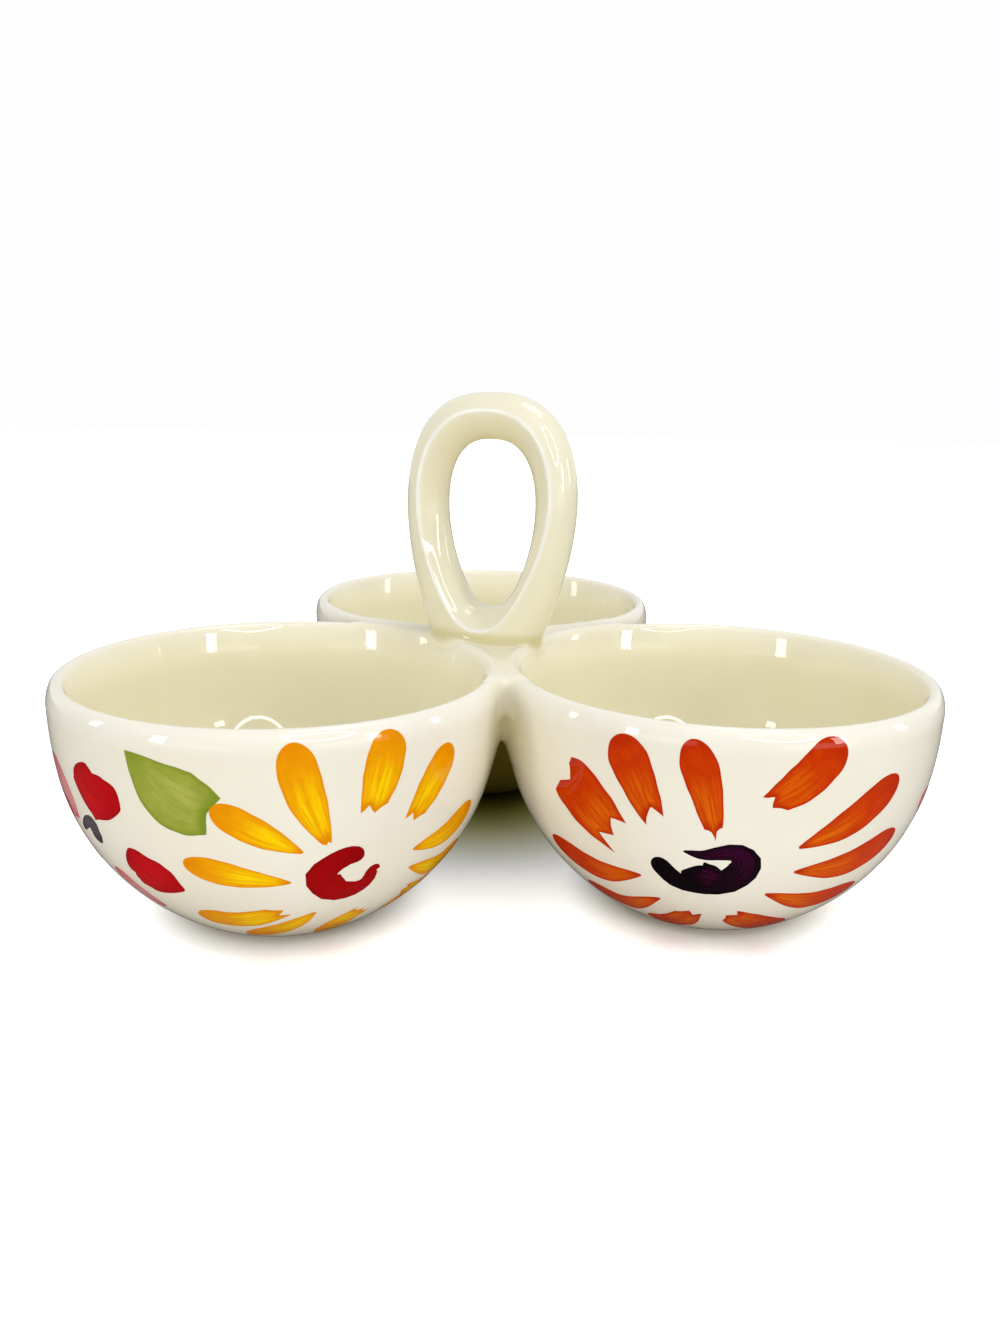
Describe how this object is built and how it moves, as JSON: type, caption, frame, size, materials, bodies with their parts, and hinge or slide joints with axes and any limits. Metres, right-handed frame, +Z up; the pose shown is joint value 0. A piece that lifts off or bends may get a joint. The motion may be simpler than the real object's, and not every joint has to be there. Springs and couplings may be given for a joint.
{
  "type": "divided serving bowl",
  "caption": "Serving dish of round glazed bowls joined by a saddle between their rims, with an upright ring handle and hand-painted daisies outside.",
  "frame": {"origin": "middle of the dish's outline, on the surface it stands on", "axes": "+Z up; +Y from the pair of front bowls to the rear bowl; +X to the right of someone who faces the pair"},
  "size_m": [0.2606, 0.243, 0.153],
  "materials": {
    "bowl_glaze": "glossy cream glaze with brushed underglaze daisies on the outside",
    "joint_glaze": "glossy cream glaze, pooled a little deeper in the crevices",
    "handle_glaze": "glossy cream glaze",
    "foot_biscuit": "matt unglazed biscuit, wiped clean of glaze",
    "paint_yellow": "brushed underglaze paint under the clear glaze",
    "paint_orange": "brushed underglaze paint under the clear glaze",
    "paint_red": "brushed underglaze paint under the clear glaze",
    "paint_pink": "brushed underglaze paint under the clear glaze",
    "paint_green": "brushed underglaze paint under the clear glaze",
    "paint_dark": "brushed underglaze paint under the clear glaze"
  },
  "bodies": {
    "root": {"bowl_left": "bowl_glaze", "bowl_right": "bowl_glaze", "bowl_rear": "bowl_glaze", "foot_ring_left": "foot_biscuit", "foot_ring_right": "foot_biscuit", "foot_ring_rear": "foot_biscuit", "saddle": "joint_glaze", "web_front": "joint_glaze", "web_left": "joint_glaze", "web_right": "joint_glaze", "handle_loop": "handle_glaze"}
  },
  "joints": []
}
